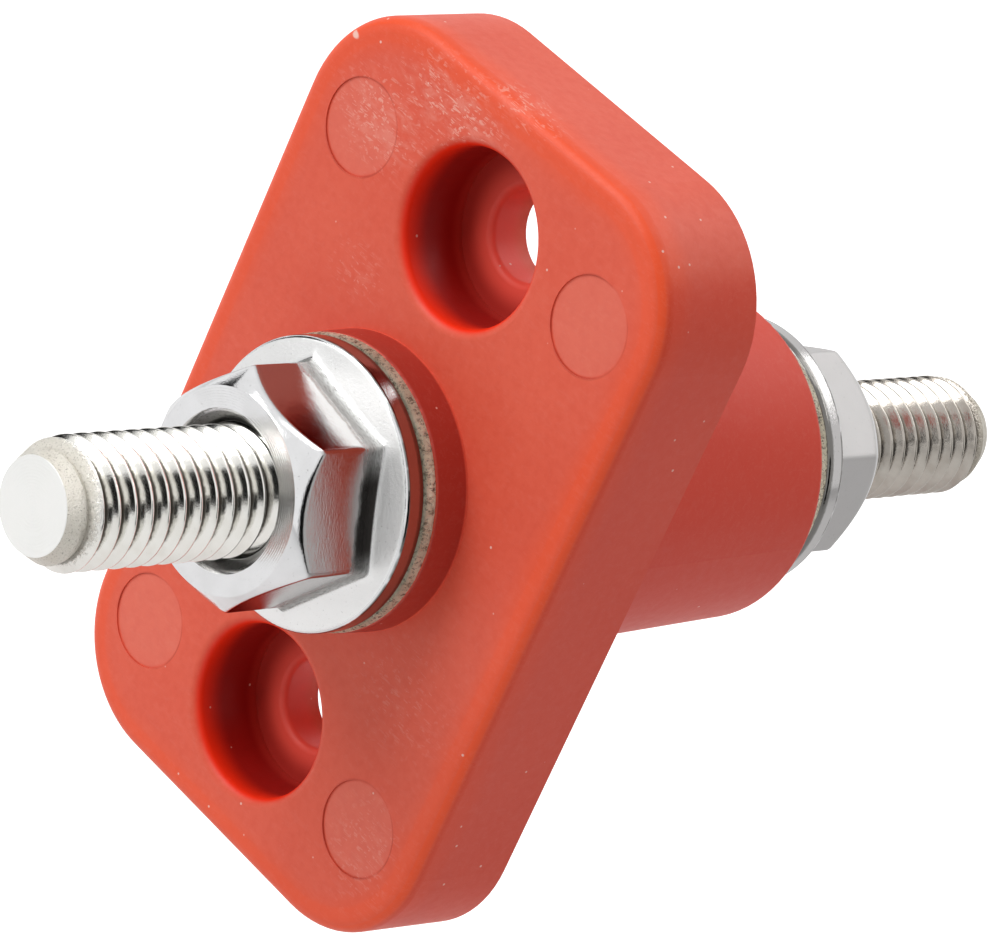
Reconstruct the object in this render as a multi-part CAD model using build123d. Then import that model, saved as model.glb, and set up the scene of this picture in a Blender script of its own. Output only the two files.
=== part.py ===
from build123d import *
import math
import os

# Feed-through stud connector, in millimetres.
# A threaded stud is moulded into a red housing, whose plate is screwed to a panel.
# Each end of the stud carries a contact washer and a flange nut.
#
# The pieces are drawn with the stud along Z, the front end up, and the back of the
# plate at zero. They are then stood up: +X right, +Y into the panel, +Z up.

# Raised seats for the washers, front and rear, a little wider than the nuts' flanges
seat_margin = 0.1
seat_draft = 2.0
seat_edge_radius = 0.2
front_seat_height = 2.5
rear_seat_height = 1.6

# Barrel that passes through the panel, and the step from its end to the rear seat
barrel_length = 22.55
barrel_draft = 2.0
barrel_step = 1.5
barrel_edge_radius = 0.4

# Pockets for the screws' heads, above and below the stud, and the holes through their floors
pocket_radius = 5.4
pocket_depth = 5.0
pocket_draft = 1.5
pocket_lip_radius = 0.65
pocket_to_seat = 2.8
hole_radius = 2.8
hole_lip_radius = 0.45

# Plate, whose outline keeps a wall beyond the barrel and the pockets
plate_thickness = 8.0
plate_side_wall = 5.0
plate_end_wall = 3.6
plate_corner_radius = 8.1
plate_draft = 1.5
plate_edge_radius = 1.0
plate_back_chamfer = 0.15

# Marks that the ejector pins left near the corners of the plate
ejector_radius = 3.0
ejector_depth = 0.1
ejector_from_side = 5.55
ejector_from_end = 8.1

# Stud, with a hexagonal core that keeps it from turning in the plastic
stud_radius = 4.0
front_stud_reach = 23.3
rear_stud_reach = 24.4
tip_inset = 1.1
tip_length = 1.9
core_flats = 12.0
core_cover = 3.0

# Contact washers, as wide as the seats
washer_thickness = 0.8
washer_clearance = 0.2

# Flange nuts
nut_flats = 13.0
nut_height = 8.0
nut_face_inset = 0.3
nut_corner_slope = 47.0
nut_neck_inset = 0.6
flange_overhang = 1.4
flange_rim = 1.65
flange_slope = 10.0
flange_edge_radius = 0.4
thread_clearance = 0.05
mouth_width = 0.75
mouth_slope = 50.0
front_nut_turn = 51.5
rear_nut_turn = 31.0

# How far a cut runs past the face that it opens, and how closely an edge must match
overshoot = 1.0
match = 0.001


def rise(run, slope):
    # Height gained over a run at a slope in degrees.
    return run * math.tan(math.radians(slope))


# Sizes that follow from those above
nut_corner_radius = nut_flats / math.sqrt(3)
flange_radius = nut_corner_radius + flange_overhang
seat_radius = flange_radius + seat_margin
front_seat = plate_thickness + front_seat_height
rear_seat = -(barrel_length + rear_seat_height)
front_seat_base = seat_radius + rise(front_seat_height, seat_draft)
rear_seat_base = seat_radius + rise(rear_seat_height, seat_draft)
barrel_end_radius = rear_seat_base + barrel_step
barrel_root_radius = barrel_end_radius + rise(barrel_length, barrel_draft)
pocket_floor = plate_thickness - pocket_depth
hole_offset = seat_radius + pocket_to_seat + pocket_radius
plate_width = 2 * (barrel_root_radius + plate_side_wall)
plate_length = 2 * (hole_offset + pocket_radius + plate_end_wall)


def turned(points):
    # Solid of revolution about the stud's axis, from points of radius and height.
    outline = Polyline(*[(radius, 0, height) for radius, height in points], close=True)
    return revolve(make_face(outline), Axis.Z)


def rings(piece, radius, height, centre=0.0):
    # Circular edges of one radius and height, round a centre above or below the stud.
    middle = Vector(0, centre, height)
    return [
        edge
        for edge in piece.edges().filter_by(GeomType.CIRCLE)
        if abs(edge.radius - radius) < match and (edge.arc_center - middle).length < match
    ]


def plate():
    outline = RectangleRounded(plate_width, plate_length, plate_corner_radius)
    slab = extrude(outline, plate_thickness, taper=plate_draft)
    slab = fillet(slab.faces().sort_by(Axis.Z)[-1].edges(), plate_edge_radius)
    return chamfer(slab.faces().sort_by(Axis.Z)[0].edges(), plate_back_chamfer)


def barrel_and_seats():
    core = turned(
        [
            (0, front_seat),
            (seat_radius, front_seat),
            (front_seat_base, plate_thickness),
            (barrel_root_radius, plate_thickness / 2),
            (barrel_root_radius, 0),
            (barrel_end_radius, -barrel_length),
            (rear_seat_base, -barrel_length),
            (seat_radius, rear_seat),
            (0, rear_seat),
        ]
    )
    core = fillet(rings(core, barrel_end_radius, -barrel_length), barrel_edge_radius)
    seat_edges = rings(core, seat_radius, front_seat) + rings(core, seat_radius, rear_seat)
    return fillet(seat_edges, seat_edge_radius)


def screw_cut():
    # What one screw takes away: the pocket for its head and the hole for its shank.
    floor_radius = pocket_radius - rise(pocket_depth, pocket_draft)
    return turned(
        [
            (0, -overshoot),
            (hole_radius, -overshoot),
            (hole_radius, pocket_floor),
            (floor_radius, pocket_floor),
            (pocket_radius, plate_thickness),
            (pocket_radius, plate_thickness + overshoot),
            (0, plate_thickness + overshoot),
        ]
    )


def with_screw_hole(body, centre):
    body = body - Pos(0, centre, 0) * screw_cut()
    body = fillet(rings(body, pocket_radius, plate_thickness, centre), pocket_lip_radius)
    return fillet(rings(body, hole_radius, pocket_floor, centre), hole_lip_radius)


def ejector_marks():
    across = plate_width - 2 * ejector_from_side
    along = plate_length - 2 * ejector_from_end
    pin = Cylinder(ejector_radius, 2 * ejector_depth)
    return [Pos(0, 0, plate_thickness) * spot * pin for spot in GridLocations(across, along, 2, 2)]


def housing():
    body = plate() + barrel_and_seats()
    body = with_screw_hole(body, hole_offset)
    body = with_screw_hole(body, -hole_offset)
    return body - ejector_marks() - stud()


def stud():
    front_tip = front_seat + front_stud_reach
    rear_tip = rear_seat - rear_stud_reach
    tip_radius = stud_radius - tip_inset
    bar = turned(
        [
            (0, front_tip),
            (tip_radius, front_tip),
            (stud_radius, front_tip - tip_length),
            (stud_radius, rear_tip + tip_length),
            (tip_radius, rear_tip),
            (0, rear_tip),
        ]
    )
    core_length = front_seat - rear_seat - 2 * core_cover
    core = extrude(RegularPolygon(core_flats / 2, 6, major_radius=False), core_length)
    return bar + Pos(0, 0, rear_seat + core_cover) * core


def washer():
    ring = Circle(seat_radius) - Circle(stud_radius + washer_clearance)
    return extrude(ring, washer_thickness)


def nut_hexagon():
    # The hexagon, one corner towards +X, with its corners turned down at the top.
    face_radius = nut_flats / 2 - nut_face_inset
    corner_drop = rise(nut_corner_radius - face_radius, nut_corner_slope)
    turned_down = turned(
        [
            (0, 0),
            (nut_corner_radius, 0),
            (nut_corner_radius, nut_height - corner_drop),
            (face_radius, nut_height),
            (0, nut_height),
        ]
    )
    return extrude(RegularPolygon(nut_flats / 2, 6, major_radius=False), nut_height) & turned_down


def nut_flange():
    neck_radius = nut_flats / 2 - nut_neck_inset
    neck_height = flange_rim + rise(flange_radius - neck_radius, flange_slope)
    flange = turned(
        [
            (0, 0),
            (flange_radius, 0),
            (flange_radius, flange_rim),
            (neck_radius, neck_height),
            (0, neck_height),
        ]
    )
    edges = rings(flange, flange_radius, 0) + rings(flange, flange_radius, flange_rim)
    return fillet(edges, flange_edge_radius)


def nut_bore():
    bore_radius = stud_radius + thread_clearance
    mouth_radius = bore_radius + mouth_width
    mouth_depth = rise(mouth_width, mouth_slope)
    return turned(
        [
            (0, -overshoot),
            (bore_radius, -overshoot),
            (bore_radius, nut_height - mouth_depth),
            (mouth_radius, nut_height),
            (mouth_radius, nut_height + overshoot),
            (0, nut_height + overshoot),
        ]
    )


def flange_nut():
    return nut_hexagon() + nut_flange() - nut_bore()


def at_front(piece, height=0.0, turn=0.0):
    return Pos(0, 0, front_seat + height) * Rot(0, 0, turn) * piece


def at_rear(piece, height=0.0, turn=0.0):
    return Pos(0, 0, rear_seat - height) * Rot(0, 180, 0) * Rot(0, 0, turn) * piece


pieces = {
    "housing": housing(),
    "stud": stud(),
    "front_washer": at_front(washer()),
    "front_flange_nut": at_front(flange_nut(), washer_thickness, front_nut_turn),
    "rear_washer": at_rear(washer()),
    "rear_flange_nut": at_rear(flange_nut(), washer_thickness, rear_nut_turn),
}
upright = Plane(origin=(0, 0, 0), x_dir=(1, 0, 0), z_dir=(0, -1, 0)).location

os.makedirs("parts", exist_ok=True)
for name, piece in pieces.items():
    export_step(upright * piece, f"parts/{name}.step")
    print(name, "volume", round(piece.volume, 1))
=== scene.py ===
from functools import reduce
import math

import bmesh
import bpy
from mathutils import Matrix, Vector, noise


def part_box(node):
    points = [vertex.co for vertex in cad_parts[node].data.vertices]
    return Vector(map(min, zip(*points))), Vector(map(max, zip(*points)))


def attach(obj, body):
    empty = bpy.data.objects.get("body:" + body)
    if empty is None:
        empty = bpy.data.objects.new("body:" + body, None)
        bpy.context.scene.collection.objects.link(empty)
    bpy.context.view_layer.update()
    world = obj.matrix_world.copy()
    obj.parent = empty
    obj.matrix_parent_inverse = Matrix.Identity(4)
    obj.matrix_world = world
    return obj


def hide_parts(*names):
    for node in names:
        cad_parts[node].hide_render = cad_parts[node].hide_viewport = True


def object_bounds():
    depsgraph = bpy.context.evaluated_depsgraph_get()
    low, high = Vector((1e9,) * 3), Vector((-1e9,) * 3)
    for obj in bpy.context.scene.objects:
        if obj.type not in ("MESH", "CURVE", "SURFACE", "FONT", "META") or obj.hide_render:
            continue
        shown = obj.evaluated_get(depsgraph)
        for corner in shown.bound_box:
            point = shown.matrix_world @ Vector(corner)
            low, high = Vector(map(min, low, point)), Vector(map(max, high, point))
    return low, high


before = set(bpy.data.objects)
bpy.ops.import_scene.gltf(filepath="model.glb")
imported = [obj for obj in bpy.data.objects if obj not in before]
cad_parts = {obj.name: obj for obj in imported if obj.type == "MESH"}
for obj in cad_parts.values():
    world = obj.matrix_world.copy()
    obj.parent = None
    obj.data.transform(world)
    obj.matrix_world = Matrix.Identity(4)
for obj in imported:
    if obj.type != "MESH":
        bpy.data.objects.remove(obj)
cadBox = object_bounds()

# Feed-through stud connector. The settings are in millimetres and degrees, the scene in metres.
mm = 0.001
fullTurn = 2 * math.pi
mergeReach = 0.0001  # vertices nearer than this are one
match = 0.001  # how closely a radius must match


# Nodes and materials

class Wire:
    # One output socket, so that shader maths reads as plain sums.
    def __init__(self, nodes, socket):
        self.nodes = nodes
        self.socket = socket

    def maths(self, operation, *values):
        return self.nodes.node("Math", {"operation": operation}, dict(enumerate(values)))

    def __add__(self, other):
        return self.maths("ADD", self, other)

    def __sub__(self, other):
        return self.maths("SUBTRACT", self, other)

    def __rsub__(self, other):
        return self.maths("SUBTRACT", other, self)

    def __mul__(self, other):
        return self.maths("MULTIPLY", self, other)

    def __pow__(self, other):
        return self.maths("POWER", self, other)

    __radd__ = __add__
    __rmul__ = __mul__

    def most(self, other):
        return self.maths("MAXIMUM", self, other)

    def least(self, other):
        return self.maths("MINIMUM", self, other)

    def size(self):
        return self.maths("ABSOLUTE", self)

    def waves(self):
        return self.maths("SINE", self)

    def ramp(self, low, high, atLow=0.0, atHigh=1.0):
        # Smooth step from one level to another between two values.
        settings = {"interpolation_type": "SMOOTHSTEP"}
        return self.nodes.node("MapRange", settings, {0: self, 1: low, 2: high, 3: atLow, 4: atHigh})

    def fall(self, low, high):
        return self.ramp(low, high, 1.0, 0.0)


class Nodes:
    # The nodes of a material or of the world, all made by one method.
    def __init__(self, tree):
        self.tree = tree

    def node(self, kind, settings=None, values=None, out=0):
        made = self.tree.nodes.new("ShaderNode" + kind)
        for name, value in (settings or {}).items():
            setattr(made, name, value)
        for name, value in (values or {}).items():
            self.feed(made.inputs[name], value)
        return Wire(self, made.outputs[out])

    def feed(self, socket, value):
        if isinstance(value, Wire):
            self.tree.links.new(value.socket, socket)
        else:
            socket.default_value = value

    def ray(self, kind):
        # 1 for rays of this kind, 0 for the others.
        return self.node("LightPath", out=f"Is {kind} Ray")


class Finish(Nodes):
    # A material and its shader.
    def __init__(self, name, **constants):
        self.material = bpy.data.materials.new(name)
        self.material.use_nodes = True
        super().__init__(self.material.node_tree)
        self.wear(**constants)

    def wear(self, **feeds):
        # Sets or feeds the shader's own sockets, and hands back the material.
        shader = self.tree.nodes["Principled BSDF"]
        for name, value in feeds.items():
            self.feed(shader.inputs[name.replace("_", " ")], value)
        return self.material

    def split(self, vector):
        made = self.node("SeparateXYZ", values={0: vector})
        return [Wire(self, made.socket.node.outputs[axis]) for axis in "XYZ"]

    def measures(self):
        # Object coordinates in millimetres, whole and by axis, and the distance from the stud's axis.
        place = self.node("TexCoord", out="Object")
        spot = self.node("VectorMath", {"operation": "SCALE"}, {0: place, "Scale": 1 / mm})
        x, y, z = self.split(spot)
        return spot, (x, y, z), (x * x + z * z) ** 0.5

    def along(self):
        # How far the surface faces along the stud, from -1 to 1.
        return self.split(self.node("TexCoord", out="Normal"))[1]

    def grain(self, vector, scale, detail=2.0, rough=0.5, distortion=0.0):
        values = {"Vector": vector, "Scale": scale, "Detail": detail}
        values.update({"Roughness": rough, "Distortion": distortion})
        return self.node("TexNoise", values=values, out="Fac")

    def stretched(self, vector, scale, turn=0.0):
        # The pattern's coordinates, scaled by axis and turned about the stud's axis.
        values = {"Vector": vector, "Scale": scale, "Rotation": (0, math.radians(turn), 0)}
        return self.node("Mapping", values=values)

    def blend(self, share, first, second):
        values = {0: share}
        for place, colour in ((6, first), (7, second)):
            values[place] = colour if isinstance(colour, Wire) else (*colour, 1)
        return self.node("Mix", {"data_type": "RGBA"}, values, out=2)

    def bump(self, height, distance, strength, under=None):
        values = {"Height": height, "Distance": distance * mm, "Strength": strength}
        if under is not None:
            values["Normal"] = under
        return self.node("Bump", values=values)

    def spotMask(self, vector, centre, radii, soft=0.5):
        # A soft patch: 1 inside an ellipsoid, 0 outside it.
        scale = tuple(1 / radius for radius in radii)
        moved = self.node("VectorMath", {"operation": "SUBTRACT"}, {0: vector, 1: centre})
        scaled = self.node("VectorMath", {"operation": "MULTIPLY"}, {0: moved, 1: scale})
        reach = self.node("VectorMath", {"operation": "LENGTH"}, {0: scaled}, out="Value")
        return reach.fall(1.0 - soft, 1.0)


# Red nylon of the housing

nylon = {
    "face": (0.75, 0.112, 0.062),
    "deep": (0.66, 0.072, 0.036),
    # Painted light of the rounded front edges
    "edge": (0.86, 0.082, 0.016),
    # Painted shade of the barrel, one long wall and the seat's side
    "shade": (0.62, 0.035, 0.014),
    "seat": (0.36, 0.026, 0.016),
    "scuff": (0.86, 0.46, 0.38),
    "speck": (0.85, 0.6, 0.52),
    # Painted shade of the screw pockets: bright at the lip, dark down the wall, lighter on the floor
    # towards the hole
    "lip": (0.95, 0.03, 0.004),
    "pocket": (0.3, 0.005, 0.003),
    "floor": (0.84, 0.09, 0.06),
    "line": (0.3, 0.018, 0.012),
    "roughness": 0.46,
    # The plate's front and the rounded rectangle of its edge
    "frontY": -8.0,
    "fillet": 1.0,
    "cornerAcross": 8.24,
    "cornerAlong": 18.1,
    "cornerRadius": 7.9,
    # Where the painted light of the clearer, more orange edge starts and is full, inwards from the edge
    # or along y
    "orangeWave": 1.6,
    "orangeOnFace": (-2.8, -0.9),
    "orangeFaceY": (-7.6, -7.2),
    "orangeWallY": (-7.0, -5.2),
    "wallFromEdge": (-2.0, -1.4),
    # Where the painted shade's deeper reds start and are full
    "barrelY": (-0.5, 0.5),
    "longWallX": (13.5, 15.0),
    "seatRadius": (9.3, 9.6),
    "seatY": (-8.25, -8.05),
    # Ejector marks and screw pockets
    "markAcross": 10.8,
    "markAlong": 18.1,
    "markRadius": 3.0,
    "pocketAlong": 17.2,
    "pocketRadius": 5.4,
    "pocketDepth": 5.0,
    "wallShadeDepths": (0.2, 2.4),
    "holeRadius": (3.2, 4.9),
    # Wear: the turns of the scratches, one nick, and dust
    "scratchTurns": (28, -52, 80),
    "scratchWidth": 0.028,
    "nick": ((-14.1, -7.9, 22.5), (0.5, 0.6, 0.25)),
    "dustScale": 0.55,
    "dustSize": (0.03, 0.06),
    # Rubbed patches on the front: centre, radii and strength
    "patchSoftness": 0.85,
    "patches": (
        ((-5.0, -8.0, 23.0), (6.5, 2.5, 3.6), 1.0),
        ((-9.5, -8.0, 19.5), (5.5, 2.5, 4.0), 0.8),
        ((-0.5, -7.4, 26.4), (4.5, 2.5, 2.6), 0.8),
        ((-6.6, -8.0, 10.6), (3.0, 2.5, 2.4), 0.45),
        ((10.0, -8.0, -9.0), (5.5, 2.5, 5.0), 0.22),
        ((12.0, -7.5, -19.0), (4.0, 2.5, 5.0), 0.35),
    ),
}


def redNylon():
    s = nylon
    f = Finish("moulded_red_nylon", IOR=1.5, Specular_IOR_Level=0.3)
    spot, (x, y, z), radius = f.measures()
    slope = f.along().size()
    depth = y - s["frontY"]

    cloud = f.grain(spot, 0.11, 3)
    mottle = f.grain(spot, 1.6, 4, 0.6)
    patchy = cloud.ramp(0.3, 0.7) * 0.35 + mottle.ramp(0.35, 0.75) * 0.3
    colour = f.blend(patchy, s["face"], s["deep"])

    # Painted light: the rounded front edges and a band beside them are painted clearer and more orange
    # than the flat faces, standing in for how the light falls on them without sheen.
    rounded = slope.ramp(0.3, 0.62) * slope.fall(0.82, 0.985)
    nearFront = depth.fall(s["fillet"] * 0.9, s["fillet"] * 1.4)
    overX = (x.size() - s["cornerAcross"]).most(0.0)
    overZ = (z.size() - s["cornerAlong"]).most(0.0)
    fromEdge = (overX * overX + overZ * overZ) ** 0.5 - s["cornerRadius"]
    outside = fromEdge.ramp(*s["wallFromEdge"])
    wave = (cloud - 0.5) * s["orangeWave"]
    onFace = (fromEdge + wave).ramp(*s["orangeOnFace"]) * y.fall(*s["orangeFaceY"])
    onWall = (y + wave).fall(*s["orangeWallY"]) * outside
    edge = (rounded * nearFront * outside).most(onFace * 0.5).most(onWall * 0.6)
    colour = f.blend(edge * 0.85, colour, s["edge"])

    # Painted shade: the barrel, the seat's side and one long wall are painted a deeper red.
    shadedLongWall = x.ramp(*s["longWallX"]) * slope.fall(0.3, 0.6) * 0.5
    colour = f.blend((y.ramp(*s["barrelY"]) * 0.75).most(shadedLongWall), colour, s["shade"])
    shadedSeatSide = radius.fall(*s["seatRadius"]) * y.fall(*s["seatY"]) * slope.fall(0.5, 0.9)
    colour = f.blend(shadedSeatSide * 0.9, colour, s["seat"])

    # Whitish haze in a few rubbed patches, crossed by thin scratches.
    patches = reduce(Wire.most, [
        f.spotMask(spot, centre, radii, s["patchSoftness"]) * strength
        for centre, radii, strength in s["patches"]
    ])
    smear = f.grain(f.stretched(spot, (0.6, 1.0, 1.5), 35), 1.1, 5, 0.7, 0.6)
    haze = (smear + patches * 0.12).ramp(0.5, 0.78) * (patches * 0.55 + 0.12)
    tracks = [f.grain(f.stretched(spot, (0.22, 1.0, 1.6), turn), 1.3) for turn in s["scratchTurns"]]
    scratches = reduce(Wire.most, [
        (track - 0.5).size().fall(0.0, s["scratchWidth"]) for track in tracks
    ])
    broken = f.grain(spot, 2.4).ramp(0.49, 0.57)
    scuffed = (haze * 0.6).most(scratches * broken * (patches + 0.05))
    colour = f.blend(scuffed * 0.68, colour, s["scuff"])

    # Faded dark lines round the ejector marks, on the front only.
    fromMark = ((x.size() - s["markAcross"]) ** 2 + (z.size() - s["markAlong"]) ** 2) ** 0.5
    onFront = depth.fall(0.3, 0.6)
    line = (fromMark - s["markRadius"]).size().fall(0.03, 0.12) * onFront
    faded = f.grain(spot, 0.35).ramp(0.35, 0.65, 0.0, 0.35)
    colour = f.blend(line * faded, colour, s["line"])
    onMark = fromMark.fall(s["markRadius"] - 0.2, s["markRadius"]) * onFront
    colour = f.blend(onMark * 0.1, colour, s["scuff"])

    # Painted shade in the screw pockets: a clean red that is painted deeper down the wall and clears at
    # the hole.
    fromPocket = (x * x + (z.size() - s["pocketAlong"]) ** 2) ** 0.5
    inPocket = fromPocket.fall(s["pocketRadius"] + 0.1, s["pocketRadius"] + 0.7)
    inPocket = inPocket * depth.fall(s["pocketDepth"] + 1.5, s["pocketDepth"] + 2.9)
    pocketShade = f.blend(depth.ramp(*s["wallShadeDepths"]), s["lip"], s["pocket"])
    onFloor = depth.ramp(s["pocketDepth"] - 1.0, s["pocketDepth"] - 0.2)
    pocketShade = f.blend(onFloor * fromPocket.ramp(*s["holeRadius"], 1.0, 0.25), pocketShade, s["floor"])
    colour = f.blend(inPocket * depth.ramp(-0.05, 0.35), colour, pocketShade)

    # Dust specks and the nick
    values = {"Vector": spot, "Scale": s["dustScale"]}
    cells = f.node("TexVoronoi", {"feature": "F1"}, values, out="Distance")
    nick = f.spotMask(spot, *s["nick"])
    colour = f.blend((cells.fall(*s["dustSize"]) * 0.7).most(nick * 0.8), colour, s["speck"])

    fine = f.grain(spot, 9.0, 3, 0.6)
    coarse = f.grain(spot, 1.1)
    roughness = s["roughness"] + (mottle - 0.5) * 0.12 + scuffed * 0.15 - edge * 0.04
    normal = f.bump(coarse * 0.03 + fine * 0.01, 1.0, 0.5)
    return f.wear(Base_Color=colour, Roughness=roughness, Normal=normal)


# Bright plating of the stud

plating = {
    "bright": (0.84, 0.83, 0.79),
    "end": (0.9, 0.9, 0.88),
    "warm": (0.56, 0.52, 0.44),
    # Painted dim, warm reflection of the rear thread
    "paintedWarmReflection": (0.3, 0.26, 0.22),
    "darkening": (0.09, 0.075, 0.055),
    "roughness": 0.1,
    "paintedReflectionFrom": 24.0,
    "rootRadius": 3.35,
    "crestRadius": 3.93,
    "endRings": 34,
}


def brightPlating(frontTip, rearTip):
    s = plating
    tip = thread["tipLength"]
    f = Finish("bright_plated_steel", Metallic=1.0)
    spot, (_, y, _), radius = f.measures()
    fromTip = (y - frontTip).least(rearTip - y)

    cloud = f.grain(spot, 0.8, 3)
    pits = f.grain(spot, 3.2, 5, 0.7)
    crumbs = f.grain(spot, 9.0, 4, 0.7)
    root = (radius + (pits - 0.5) * 0.25).fall(s["rootRadius"], s["rootRadius"] + 0.12)
    root = root * fromTip.ramp(tip - 0.8, tip)
    onEnd = fromTip.fall(0.02, 0.05)
    onTip = (fromTip + (pits - 0.5) * 0.9).fall(tip - 0.5, tip - 0.1)
    onTip = onTip * (1 - onEnd)
    chips = pits.ramp(0.66, 0.72) * radius.ramp(s["crestRadius"] - 0.3, s["crestRadius"])

    # Painted reflection: the rear thread is painted duller and warmer, for its dim, warm reflections.
    # Speckled on the tips, darker in the thread's root.
    colour = f.blend(cloud.ramp(0.35, 0.7) * 0.2, s["bright"], s["warm"])
    paintedReflection = y.ramp(s["paintedReflectionFrom"] - 1.0, s["paintedReflectionFrom"]) * cloud.ramp(0.25, 0.7, 0.85, 0.65)
    colour = f.blend(paintedReflection, colour, s["paintedWarmReflection"])
    colour = f.blend(onTip * (0.35 + crumbs * 0.5), colour, s["warm"])
    colour = f.blend(onEnd, colour, s["end"])
    colour = f.blend(root * 0.9, colour, s["darkening"])
    colour = f.blend(chips * 0.35 + onTip * crumbs.ramp(0.56, 0.66) * 0.6, colour, s["darkening"])

    rings = (radius * s["endRings"] + cloud * 4).waves()
    roughness = s["roughness"] + cloud * 0.06 + onTip * 0.22 + onEnd * 0.3 + root * 0.25
    normal = f.bump(pits, 0.05, 0.16)
    normal = f.bump(crumbs * onTip, 0.12, 0.8, normal)
    normal = f.bump(rings * onEnd, 0.01, 0.35, normal)
    return f.wear(Base_Color=colour, Roughness=roughness, Normal=normal)


# Polished steel of the nuts

polish = {
    "grey": (0.42, 0.42, 0.41),
    "cone": (0.92, 0.92, 0.91),
    "darkening": (0.12, 0.115, 0.105),
    # Painted dark reflection at the hexagon's foot, and where it is darkest
    "footShade": (0.035, 0.032, 0.03),
    "footShadeSpot": ((7.0, -13.7, 2.6), (3.4, 2.6, 4.6)),  # centre and radii, on the front nut
    # Greys of what faces along the stud and of what faces sideways, the sideways grey being painted
    # shade, and the hexagon's own finish
    "front": {"tone": 0.78, "side": 0.34, "roughness": 0.07, "metal": 1.0},
    "rear": {"tone": 0.82, "side": 0.48, "roughness": 0.45, "metal": 0.45},
    "flangeRoughness": 0.08,
    "faceRings": 40,
    # Heights over the nut's foot, and distances from its axis
    "footHeight": 3.1,
    "footFrom": (1.75, 1.9),
    "coneTop": (3.4, 3.8),
    "boreRadius": (4.62, 4.78),
    "hexagon": 7.6,
    "rim": 8.7,
    "rimLip": 1.36,
    "underRim": (0.4, 0.6),
}


def polishedSteel(name, nutY, outward, look):
    # nutY is where the nut sits, and outward the way in which its face looks.
    s = polish
    tone, side = look["tone"], look["side"]
    f = Finish(name)
    spot, (_, y, _), radius = f.measures()
    height = (y - nutY) * outward
    facing = f.along() * outward
    top = nut["height"]

    cloud = f.grain(spot, 0.7, 3)
    brushed = f.grain(f.stretched(spot, (1.0, 5.0, 1.0)), 3.0, 4, 0.65)
    pits = f.grain(spot, 5.0, 5, 0.7)
    sideways = facing.fall(0.1, 0.5)
    onFace = facing.ramp(0.97, 0.995) * height.ramp(top - 0.2, top - 0.05)
    onCone = facing.ramp(0.8, 0.95) * height.fall(*s["coneTop"])
    wavy = height + (brushed - 0.5) * 0.7 + (cloud - 0.5) * 0.5
    atFoot = wavy.fall(s["footHeight"] - 0.25, s["footHeight"] + 0.1) * height.ramp(*s["footFrom"])
    atFoot = atFoot * facing.fall(0.75, 0.93)
    inside = radius.fall(*s["boreRadius"]) * height.fall(top - 0.06, top - 0.02)
    onHexagon = radius.fall(s["hexagon"], s["hexagon"] + 0.3)

    # Painted shade and reflection: the faces that look sideways are painted a darker grey, the
    # hexagon's foot gets a painted dark band, and a painted shadow lies under the flange's edge. The
    # flange's cone is brighter.
    colour = f.blend(sideways, (tone, tone, tone * 1.01), (side, side * 0.97, side * 0.96))
    colour = f.blend(cloud.ramp(0.3, 0.75) * 0.15, colour, s["grey"])
    # Painted reflection: a dark band along the hexagon's foot, darkest in one spot on the front nut
    colour = f.blend(atFoot * (0.7 + brushed * 0.5), colour, s["grey"])
    colour = f.blend(atFoot * brushed.ramp(0.45, 0.65) * 0.5, colour, s["darkening"])
    colour = f.blend(atFoot * f.spotMask(spot, *s["footShadeSpot"]), colour, s["footShade"])
    colour = f.blend(onCone * 0.8, colour, s["cone"])
    # Painted shadow under the flange's rim and a painted dark reflection line along its upper edge
    ragged = height + (brushed - 0.5) * 0.3
    under = radius.ramp(s["rim"] - 0.2, s["rim"]) * ragged.fall(*s["underRim"])
    lip = radius.ramp(s["rim"], s["rim"] + 0.08) * (height - s["rimLip"]).size().fall(0.05, 0.13)
    colour = f.blend(under.most(lip * cloud.ramp(0.35, 0.55)) * 0.85, colour, s["darkening"])
    # Dark pits, and painted shade inside the bore
    colour = f.blend(pits.ramp(0.62, 0.7) * 0.35 + inside * (0.5 + pits * 0.5), colour, s["darkening"])

    # The flange shines alike on both nuts, and the hexagon has its own roughness and metal.
    rougher = look["roughness"] - s["flangeRoughness"]
    shine = s["flangeRoughness"] + onHexagon * rougher + cloud * 0.03
    shine = shine - sideways * 0.03 + onFace * 0.09 + onCone * 0.32 + atFoot * 0.22 + inside * 0.2
    metallic = 1 - onHexagon * (1 - look["metal"])
    rings = (radius * s["faceRings"] + cloud * 3).waves()
    normal = f.bump(cloud, 0.1, 0.14)
    normal = f.bump(brushed * (atFoot + 0.1), 0.1, 0.6, normal)
    normal = f.bump(pits * (onCone + 0.15), 0.05, 0.5, normal)
    normal = f.bump(rings * onFace, 0.006, 0.3, normal)
    return f.wear(Base_Color=colour, Metallic=metallic, Roughness=shine, Normal=normal)


# Sheared edge of the washers

shear = {
    "bright": (1.0, 0.94, 0.74),
    "warm": (0.52, 0.45, 0.3),
    "darkening": (0.06, 0.05, 0.03),
    "roughness": 0.14,
    "rim": (8.55, 8.7),
}


def shearedSteel():
    s = shear
    f = Finish("sheared_washer_steel")
    spot, _, radius = f.measures()
    onRim = radius.ramp(*s["rim"])
    cloud = f.grain(spot, 0.6, 3)
    flakes = f.grain(f.stretched(spot, (1.0, 0.6, 1.0)), 3.2, 5, 0.8)
    torn = (cloud.ramp(0.35, 0.65) + flakes.fall(0.45, 0.55)) * 0.35 * onRim
    colour = f.blend(torn, s["bright"], s["warm"])
    colour = f.blend(flakes.fall(0.36, 0.45) * onRim * 0.85, colour, s["darkening"])
    metallic = 1 - onRim * (0.35 + cloud * 0.4)
    roughness = s["roughness"] + onRim * 0.08 + flakes * 0.12
    normal = f.bump(flakes, 0.8, 1.0)
    return f.wear(Base_Color=colour, Metallic=metallic, Roughness=roughness, Normal=normal)


# Meshes

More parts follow.
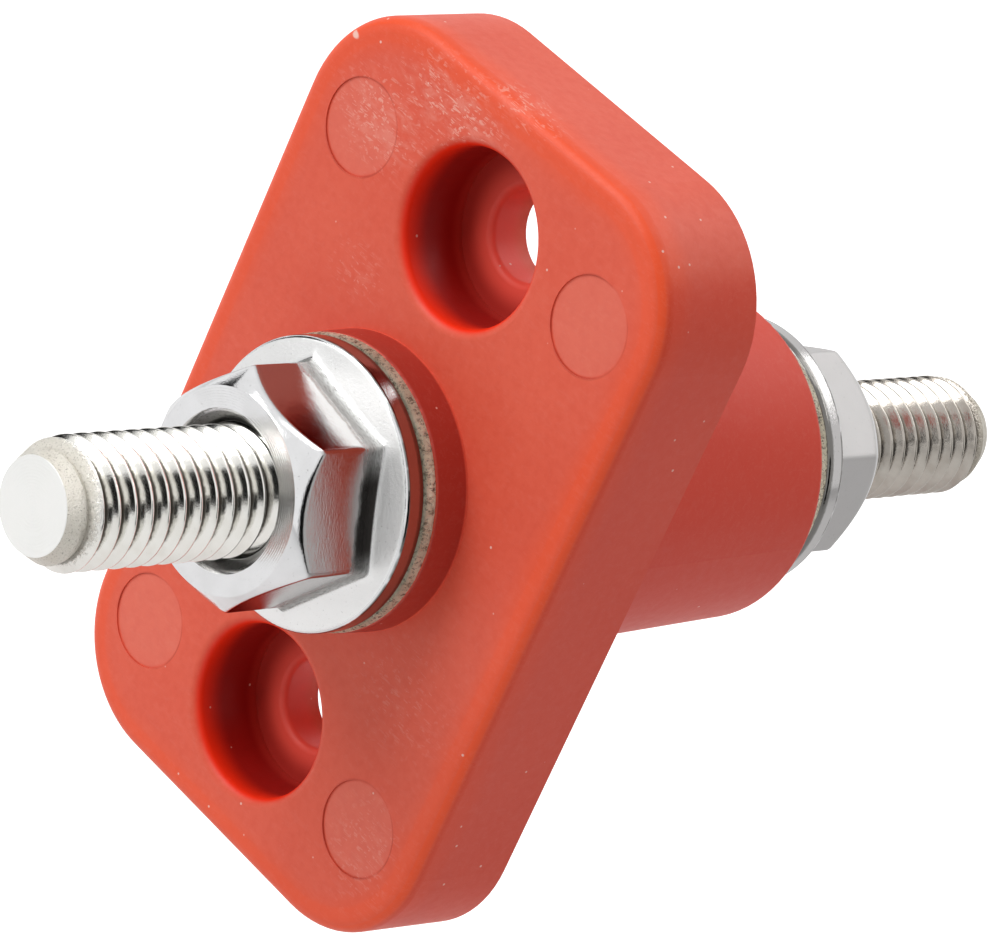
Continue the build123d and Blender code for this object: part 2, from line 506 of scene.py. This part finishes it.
def meshObject(name, bm):
    # An object at the origin from a bmesh, linked to the scene.
    mesh = bpy.data.meshes.new(name)
    bm.to_mesh(mesh)
    bm.free()
    made = bpy.data.objects.new(name, mesh)
    bpy.context.scene.collection.objects.link(made)
    return made


def newPiece(name, bm, body, material, nodes, sharp=32.0):
    # Turns a bmesh in millimetres into a finished piece that stands for its CAD nodes.
    bmesh.ops.scale(bm, vec=(mm, mm, mm), verts=bm.verts)
    bmesh.ops.recalc_face_normals(bm, faces=bm.faces)
    piece = meshObject(name, bm)
    mesh = piece.data
    mesh.polygons.foreach_set("use_smooth", [True] * len(mesh.polygons))
    mesh.set_sharp_from_angle(angle=math.radians(sharp))
    mesh.materials.append(material)
    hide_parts(*nodes)
    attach(piece, body)
    print(name, "made with", len(mesh.polygons), "faces")


def chain(bm, points, close=False):
    # A line of vertices from points of radius and height.
    verts = [bm.verts.new((radius, 0, height)) for radius, height in points]
    edges = [bm.edges.new(pair) for pair in zip(verts, verts[1:])]
    if close:
        edges.append(bm.edges.new((verts[-1], verts[0])))
    return verts + edges


def spun(bm, section, steps, turns=1, rise=0.0, merge=False):
    # Spins a section about the stud's axis, and lifts it by rise in each step.
    bmesh.ops.spin(
        bm,
        geom=section,
        cent=(0, 0, 0),
        axis=(0, 0, 1),
        dvec=(0, 0, rise),
        angle=fullTurn * turns,
        steps=steps * turns,
        use_merge=merge,
    )


def turned(points, steps):
    # A closed ring: a section of radius and height spun once about the stud's axis.
    bm = bmesh.new()
    spun(bm, chain(bm, points, close=True), steps, merge=True)
    bmesh.ops.remove_doubles(bm, verts=bm.verts, dist=mergeReach)
    return bm


def stand(bm, side, height, turn=0.0):
    # From the piece's own frame, its foot at zero and its top up, to its place on the stud.
    matrix = Matrix.Translation((0, side * height, 0)) @ Matrix.Rotation(math.radians(90), 4, "X")
    if side > 0:
        matrix = matrix @ Matrix.Rotation(math.radians(180), 4, "Y")
    bmesh.ops.transform(bm, matrix=matrix @ Matrix.Rotation(math.radians(turn), 4, "Z"), verts=bm.verts)


def join(bm, other):
    mesh = bpy.data.meshes.new("joined")
    other.to_mesh(mesh)
    other.free()
    bm.from_mesh(mesh)
    bpy.data.meshes.remove(mesh)


def vertsOf(geometry):
    return [item for item in geometry if isinstance(item, bmesh.types.BMVert)]


def polar(vert):
    return math.hypot(vert.co.x, vert.co.y), math.atan2(vert.co.y, vert.co.x)


def setPolar(vert, radius, angle):
    vert.co.x = radius * math.cos(angle)
    vert.co.y = radius * math.sin(angle)


# Threaded stud

thread = {
    "pitch": 1.25,
    "crest": 3.97,
    "root": 3.27,
    "crestFlat": 0.15,
    "rootFlat": 0.2,
    # The flank from root to crest, as shares of its width and of its height
    "flank": (
        (0.0, -0.05),
        (0.03, 0.015),
        (0.08, 0.08),
        (0.13, 0.13),
        (0.86, 0.86),
        (0.93, 0.925),
        (0.98, 0.965),
        (1.08, 1.0),
    ),
    "steps": 80,
    "tipRadius": 2.9,
    "tipLength": 1.9,
    "coreCover": 3.0,  # from each seat in to the thread's foot
    "coreInside": 3.0,  # how far the core overlaps both threads, in all
    "wobble": 0.016,
    "wobbleScale": 1.7,
    "wobbleFromRoot": 0.3,
    "cutReach": 0.00001,
}


def threadSection():
    # One pitch of a rolled thread, from root to root: flat flanks between rounded corners.
    s = thread
    width = (s["pitch"] - s["crestFlat"] - s["rootFlat"]) / 2
    depth = s["crest"] - s["root"]
    rise = [(s["root"], 0.0)]
    rise += [(s["root"] + depth * up, s["rootFlat"] / 2 + width * along) for along, up in s["flank"]]
    rise.append((s["crest"], s["pitch"] / 2))
    return rise + [(radius, s["pitch"] - height) for radius, height in reversed(rise[:-1])]


def threadedEnd(length):
    # A threaded bar from zero up to its chamfered tip.
    s = thread
    bm = bmesh.new()
    # The thread starts two turns early and runs on past the tip, and both ends are cut off.
    section = chain(bm, [(radius, height - 2 * s["pitch"]) for radius, height in threadSection()])
    spun(bm, section, s["steps"], rise=s["pitch"] / s["steps"])
    oneTurn = bm.verts[:] + bm.edges[:] + bm.faces[:]
    for turn in range(1, math.ceil(length / s["pitch"]) + 3):
        copy = bmesh.ops.duplicate(bm, geom=oneTurn)["geom"]
        bmesh.ops.translate(bm, verts=vertsOf(copy), vec=(0, 0, turn * s["pitch"]))
    bmesh.ops.remove_doubles(bm, verts=bm.verts, dist=mergeReach)
    slope = (s["crest"] - s["tipRadius"]) / s["tipLength"]
    for vert in bm.verts:
        radius, angle = polar(vert)
        rough = 0.0
        if radius > s["root"] + s["wobbleFromRoot"]:
            rough = s["wobble"] * noise.noise(vert.co * s["wobbleScale"])
        limit = s["tipRadius"] + (length - vert.co.z) * slope
        setPolar(vert, min(radius + rough - s["wobble"] / 2, limit), angle)
    for height, way in ((0.0, -1), (length, 1)):
        cut = bmesh.ops.bisect_plane(
            bm,
            geom=bm.verts[:] + bm.edges[:] + bm.faces[:],
            dist=s["cutReach"],
            plane_co=(0, 0, height),
            plane_no=(0, 0, way),
            clear_outer=True,
        )
        rim = [edge for edge in cut["geom_cut"] if isinstance(edge, bmesh.types.BMEdge)]
        lid = bmesh.ops.edgeloop_fill(bm, edges=rim)
        bmesh.ops.poke(bm, faces=lid["faces"])
    return bm


def studPiece(frontTip, rearTip, frontFoot, rearFoot, flats):
    # Both threaded ends and the hexagonal core that the plastic holds.
    s = thread
    bm = bmesh.new()
    for side, tip, foot in ((-1, -frontTip, frontFoot), (1, rearTip, rearFoot)):
        end = threadedEnd(tip - foot)
        stand(end, side, foot)
        join(bm, end)
    middle = bmesh.new()
    ring = bmesh.ops.create_circle(middle, cap_ends=True, segments=6, radius=flats / math.sqrt(3))
    faces = list({face for vert in ring["verts"] for face in vert.link_faces})
    grown = bmesh.ops.extrude_face_region(middle, geom=faces)["geom"]
    length = frontFoot + rearFoot + s["coreInside"]
    bmesh.ops.translate(middle, verts=vertsOf(grown), vec=(0, 0, length))
    stand(middle, 1, -frontFoot - s["coreInside"] / 2)
    join(bm, middle)
    return bm


# Flange nuts

nut = {
    "sides": 6,
    "flats": 13.0,
    "height": 8.0,
    "corner": 0.35,  # rounding of the hexagon's corners
    "faceRadius": 6.2,
    "cornerSlope": 47.0,  # of the chamfer that cuts the corners
    "rimRadius": 8.88,
    "rimHeight": 1.6,
    "rimRound": 0.32,
    "rimSteps": 6,
    "rimSupport": 0.04,
    "coneSlope": 10.0,
    "foot": 0.6,  # width of the blend between the hexagon and the cone
    "edge": 0.26,  # rounding between the chamfer and the flats
    "support": 0.2,  # from a rounded edge to the ring beside it, which keeps the flat even
    "wallFrom": 2.0,  # where the wall's rings stand until wallRing places them
    "wallStep": 0.4,
    "wallRings": 11,
    "bore": 4.03,
    "mouth": 4.8,
    "mouthDepth": 0.9,
    "soft": 0.08,
    "perSide": 30,  # steps of the spin
    "crowding": 1.6,  # how much the steps crowd towards the corners
    "frontTurn": 51.5,
    "rearTurn": 31.0,
}

ridge = {
    "from": 0.7,  # the lowest that its middle starts over the nut's foot
    "turns": 4,
    "steps": 48,
    "outer": 4.06,
    "crest": 3.66,
    "width": 0.8,
    "flat": 0.2,
}


def hexRadius(angle):
    # Distance from the axis to the hexagon's side, with its corners rounded.
    s = nut
    sixth = fullTurn / s["sides"]
    off = abs((angle + sixth / 2) % sixth - sixth / 2)
    apothem = s["flats"] / 2
    centre = (apothem - s["corner"]) / math.cos(sixth / 2)
    reach = math.atan2(s["corner"] * math.sin(sixth / 2), centre + s["corner"] * math.cos(sixth / 2))
    if off > reach:
        return apothem / math.cos(sixth / 2 - off)
    return centre * math.cos(off) + math.sqrt(s["corner"] ** 2 - (centre * math.sin(off)) ** 2)


def coneHeight(radius):
    # Height of the flange's cone at a distance from the axis.
    run = nut["rimRadius"] - nut["rimRound"] - radius
    return nut["rimHeight"] + run * math.tan(math.radians(nut["coneSlope"]))


def roundRim():
    # The rim's section, from under the flange round both of its edges.
    rim, lip, soft = nut["rimRadius"], nut["rimHeight"], nut["rimRound"]
    quarter = [math.radians(90 * step / nut["rimSteps"]) for step in range(nut["rimSteps"] + 1)]
    under = [(rim - soft + soft * math.sin(a), soft - soft * math.cos(a)) for a in quarter]
    over = [(rim - soft + soft * math.cos(a), lip - soft + soft * math.sin(a)) for a in quarter]
    support = nut["rimSupport"]
    return under + [(rim, soft + support), (rim, lip - soft - support)] + over


def nutBlank(wide):
    # The nut's section, spun once. Its wall is round until flangeNut moves it in.
    s = nut
    top, bore, mouth, soft = s["height"], s["bore"], s["mouth"], s["soft"]
    cone = [s["rimRadius"] - s["rimRound"] - 0.06, wide + s["foot"]]
    section = [(bore, 0.12), (bore + 0.3, 0.0)] + roundRim()
    section += [(radius, coneHeight(radius)) for radius in cone]
    section += [(wide, s["wallFrom"] + step * s["wallStep"]) for step in range(s["wallRings"])]
    section += [
        (s["faceRadius"], top),
        (s["faceRadius"] - soft, top),
        (mouth + soft, top),
        (mouth - 0.02, top - soft),
        (mouth - 0.34, top - s["mouthDepth"] * 0.5),
        (mouth - 0.3, top - s["mouthDepth"] * 0.62),
        (bore + soft, top - s["mouthDepth"]),
        (bore, top - s["mouthDepth"] - 0.15),
    ]
    return turned(section, s["sides"] * s["perSide"])


def boreThread(phase):
    # A helical ridge inside the bore, which runs in the stud's groove.
    s = ridge
    pitch = thread["pitch"]
    half, flat = s["width"] / 2, s["flat"] / 2
    bm = bmesh.new()
    start = s["from"] + (phase - s["from"]) % pitch
    points = ((s["outer"], -half), (s["crest"], -flat), (s["crest"], flat), (s["outer"], half))
    section = chain(bm, [(radius, start + height) for radius, height in points], close=True)
    spun(bm, section, s["steps"], s["turns"], rise=pitch / s["steps"])
    ends = [edge for edge in bm.edges if edge.is_boundary]
    bmesh.ops.holes_fill(bm, edges=ends, sides=4)
    return bm


def wallRing(wall, index):
    # One ring of the hexagon's wall as radius and height: the blend at its foot, the flat, and
    # the rounded edge under the chamfer of the corners.
    s = nut
    blend, soft, support = s["foot"], s["edge"], s["support"]
    foot = coneHeight(wall)
    slope = math.tan(math.radians(s["cornerSlope"]))
    shoulder = s["height"] - max(wall - s["faceRadius"], 0.0) * slope
    return (
        (wall + blend, coneHeight(wall + blend) + 0.02),
        (wall + blend * 0.55, foot - blend * 0.1 + 0.06),
        (wall + blend * 0.25, foot + blend * 0.2),
        (wall + blend * 0.07, foot + blend * 0.52),
        (wall, foot + blend * 0.95),
        (wall, foot + blend + support),
        (wall, shoulder - soft - support),
        (wall, shoulder - soft),
        (wall - soft * 0.14, shoulder - soft * 0.36),
        (wall - soft * 0.5, shoulder + soft * 0.26),
        (wall - soft, shoulder + soft * slope),
    )[index]


def flangeNut(side, seat, turn, studFoot):
    s = nut
    wide = s["flats"] / math.sqrt(3)
    sixth = fullTurn / s["sides"]
    bm = nutBlank(wide)
    for vert in bm.verts:
        radius, angle = polar(vert)
        # The steps of the spin are drawn towards the corners, where the shape changes most.
        corner = round(angle / sixth) * sixth
        share = (angle - corner) / (sixth / 2)
        angle = corner + math.copysign(abs(share) ** s["crowding"], share) * sixth / 2
        if abs(radius - wide) < match:
            index = round((vert.co.z - s["wallFrom"]) / s["wallStep"])
            radius, vert.co.z = wallRing(hexRadius(angle), index)
        setPolar(vert, radius, angle)
    join(bm, boreThread(turn / 360 * thread["pitch"] - (seat - studFoot)))
    stand(bm, side, seat, turn)
    return bm


# Washers

washerRing = {
    "outer": 8.98,
    "inner": 4.2,
    "thickness": 0.79,
    "soft": 0.08,
    "steps": 220,
    "tearWidth": 0.15,
    "tearDepth": 0.05,
    "tearScale": 1.9,
}


def washer(side, seat):
    s = washerRing
    outer, inner, thick, soft = s["outer"], s["inner"], s["thickness"], s["soft"]
    section = [
        (inner, soft),
        (inner + soft, 0.0),
        (outer - 0.12, 0.0),
        (outer - 0.02, 0.06),
        (outer, 0.22),
        (outer - 0.01, 0.4),
        (outer - 0.04, 0.55),
        (outer - 0.12, 0.7),
        (outer - 0.3, thick - 0.02),
        (outer - 0.45, thick),
        (inner + soft, thick),
        (inner, thick - soft),
    ]
    bm = turned(section, s["steps"])
    for vert in bm.verts:
        radius, angle = polar(vert)
        if radius > outer - s["tearWidth"]:
            place = Vector((vert.co.x, vert.co.y, vert.co.z * 2)) * s["tearScale"]
            setPolar(vert, radius - s["tearDepth"] * abs(noise.noise(place)), angle)
    stand(bm, side, seat)
    return bm


# Where the pieces sit, read from the frame

studLow, studHigh = (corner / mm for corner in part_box("stud"))
frontSeat = -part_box("front_washer")[1].y / mm
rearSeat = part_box("rear_washer")[0].y / mm
frontNutSeat = -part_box("front_flange_nut")[1].y / mm
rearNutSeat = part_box("rear_flange_nut")[0].y / mm
frontFoot = frontSeat - thread["coreCover"]
rearFoot = rearSeat - thread["coreCover"]

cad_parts["housing"].data.materials[0] = redNylon()
print("housing finished")

newPiece(
    "threaded_stud",
    studPiece(studLow.y, studHigh.y, frontFoot, rearFoot, (studHigh - studLow).z),
    "housing_and_stud",
    brightPlating(studLow.y, studHigh.y),
    ["stud"],
    sharp=60.0,
)
washerSteel = shearedSteel()
newPiece(
    "front_contact_washer",
    washer(-1, frontSeat),
    "front_washer",
    washerSteel,
    ["front_washer"],
)
newPiece(
    "rear_contact_washer",
    washer(1, rearSeat),
    "rear_washer",
    washerSteel,
    ["rear_washer"],
)
newPiece(
    "front_nut_polished",
    flangeNut(-1, frontNutSeat, nut["frontTurn"], frontFoot),
    "front_nut",
    polishedSteel("polished_front_nut", -frontNutSeat, -1, polish["front"]),
    ["front_flange_nut"],
)
newPiece(
    "rear_nut_polished",
    flangeNut(1, rearNutSeat, nut["rearTurn"], rearFoot),
    "rear_nut",
    polishedSteel("polished_rear_nut", rearNutSeat, 1, polish["rear"]),
    ["rear_flange_nut"],
)


# Studio: floor, world, lamps, and dark cards that only reflections see

studio = {
    "floorDrop": 30.0,
    "floorSize": 4000.0,
    "floorTone": 0.85,
    "floorRoughness": 0.9,
    "glow": 0.5,
    "mirroredGlow": 0.08,
    "ambient": 0.4,
    "cardTone": 0.01,
    # Lamps: place, width and height in metres, and watts
    "lamps": {
        "key_lamp": ((-0.36, -0.5, 0.5), 0.55, 0.5, 4.0),
        "top_lamp": ((0.0, 0.1, 0.7), 0.3, 0.6, 0.9),
        "back_strip": ((0.06, 0.43, 0.42), 0.5, 0.1, 0.6),
    },
    # Cards: place, width and height in metres, and turn in degrees
    "cards": {
        "camera_side_card": ((0.124, -0.455, 0.095), 0.2, 0.29, 38),
        "left_card": ((-0.48, -0.12, 0.07), 0.24, 0.28, 0),
        "low_left_card": ((-0.15, -0.143, -0.036), 0.09, 0.034, 0),
        "right_card": ((0.5, 0.04, 0.1), 0.36, 0.29, 0),
    },
}


def plainFloor():
    s = studio
    bm = bmesh.new()
    bmesh.ops.create_grid(bm, x_segments=1, y_segments=1, size=s["floorSize"] / 2 * mm)
    bmesh.ops.translate(bm, verts=bm.verts, vec=(0, 0, cadBox[0].z - s["floorDrop"] * mm))
    floor = meshObject("pale_floor", bm)
    tone = (s["floorTone"],) * 3 + (1,)
    f = Finish("pale_floor", Roughness=s["floorRoughness"], Base_Color=tone, Emission_Strength=1.0)
    glow = (f.ray("Camera") * s["glow"]).most(f.ray("Glossy") * s["mirroredGlow"])
    floor.data.materials.append(f.wear(Emission_Color=f.blend(glow, (0, 0, 0), (1, 1, 1))))


def softWorld():
    # White where it is looked at or mirrored, and dimmer as light.
    world = bpy.data.worlds.new("soft_studio")
    bpy.context.scene.world = world
    world.use_nodes = True
    sky = Nodes(world.node_tree)
    background = sky.tree.nodes["Background"].inputs
    seen = sky.ray("Camera").most(sky.ray("Glossy")).most(sky.ray("Transmission"))
    sky.feed(background["Color"], (1, 1, 1, 1))
    sky.feed(background["Strength"], seen.ramp(0.0, 1.0, studio["ambient"], 1.0))


def aimAtOrigin(thing, place):
    thing.location = Vector(place)
    thing.rotation_euler = (-Vector(place)).to_track_quat("-Z", "Y").to_euler()


def softLamp(name, place, width, height, watts):
    lamp = bpy.data.lights.new(name, "AREA")
    lamp.shape = "RECTANGLE"
    lamp.size, lamp.size_y = width, height
    lamp.energy = watts
    holder = bpy.data.objects.new(name, lamp)
    bpy.context.scene.collection.objects.link(holder)
    aimAtOrigin(holder, place)


def darkCard(name, place, width, height, turn):
    bm = bmesh.new()
    bmesh.ops.create_grid(bm, x_segments=1, y_segments=1, size=0.5)
    bmesh.ops.scale(bm, vec=(width, height, 1), verts=bm.verts)
    spin = Matrix.Rotation(math.radians(turn), 3, "Z")
    bmesh.ops.rotate(bm, cent=(0, 0, 0), matrix=spin, verts=bm.verts)
    card = meshObject(name, bm)
    aimAtOrigin(card, place)
    tone = (studio["cardTone"],) * 3 + (1,)
    f = Finish(name, Roughness=1.0, Specular_IOR_Level=0.0, Base_Color=tone)
    card.data.materials.append(f.material)
    card.visible_camera = False
    card.visible_diffuse = False
    card.visible_shadow = False


plainFloor()
softWorld()
for name, values in studio["lamps"].items():
    softLamp(name, *values)
for name, values in studio["cards"].items():
    darkCard(name, *values)
print("studio lit")


# Camera at the photograph's angle

view = {
    "azimuth": 37.26,
    "elevation": 25.19,
    "roll": 24.6,
    "distance": 315.45,
    "aside": 2.9,
    "lens": 186.48,
    "sensor": 36.0,
    "sees": (0.01, 20.0),  # metres
}


def photoCamera():
    s = view
    azimuth, elevation, roll = (math.radians(s[name]) for name in ("azimuth", "elevation", "roll"))
    back = Vector((
        math.sin(azimuth) * math.cos(elevation),
        -math.cos(azimuth) * math.cos(elevation),
        math.sin(elevation),
    ))
    level = Vector((0, 0, 1)).cross(back).normalized()
    upright = back.cross(level)
    right = level * math.cos(roll) + upright * math.sin(roll)
    up = upright * math.cos(roll) - level * math.sin(roll)
    data = bpy.data.cameras.new("photo_camera")
    data.sensor_width = s["sensor"]
    data.lens = s["lens"]
    data.clip_start, data.clip_end = s["sees"]
    camera = bpy.data.objects.new("photo_camera", data)
    bpy.context.scene.collection.objects.link(camera)
    place = (back * s["distance"] + right * s["aside"]) * mm
    turn = Matrix((right, up, back)).transposed().to_4x4()
    camera.matrix_world = Matrix.Translation(place) @ turn
    bpy.context.scene.camera = camera


photoCamera()
bpy.context.scene.view_settings.view_transform = "Standard"
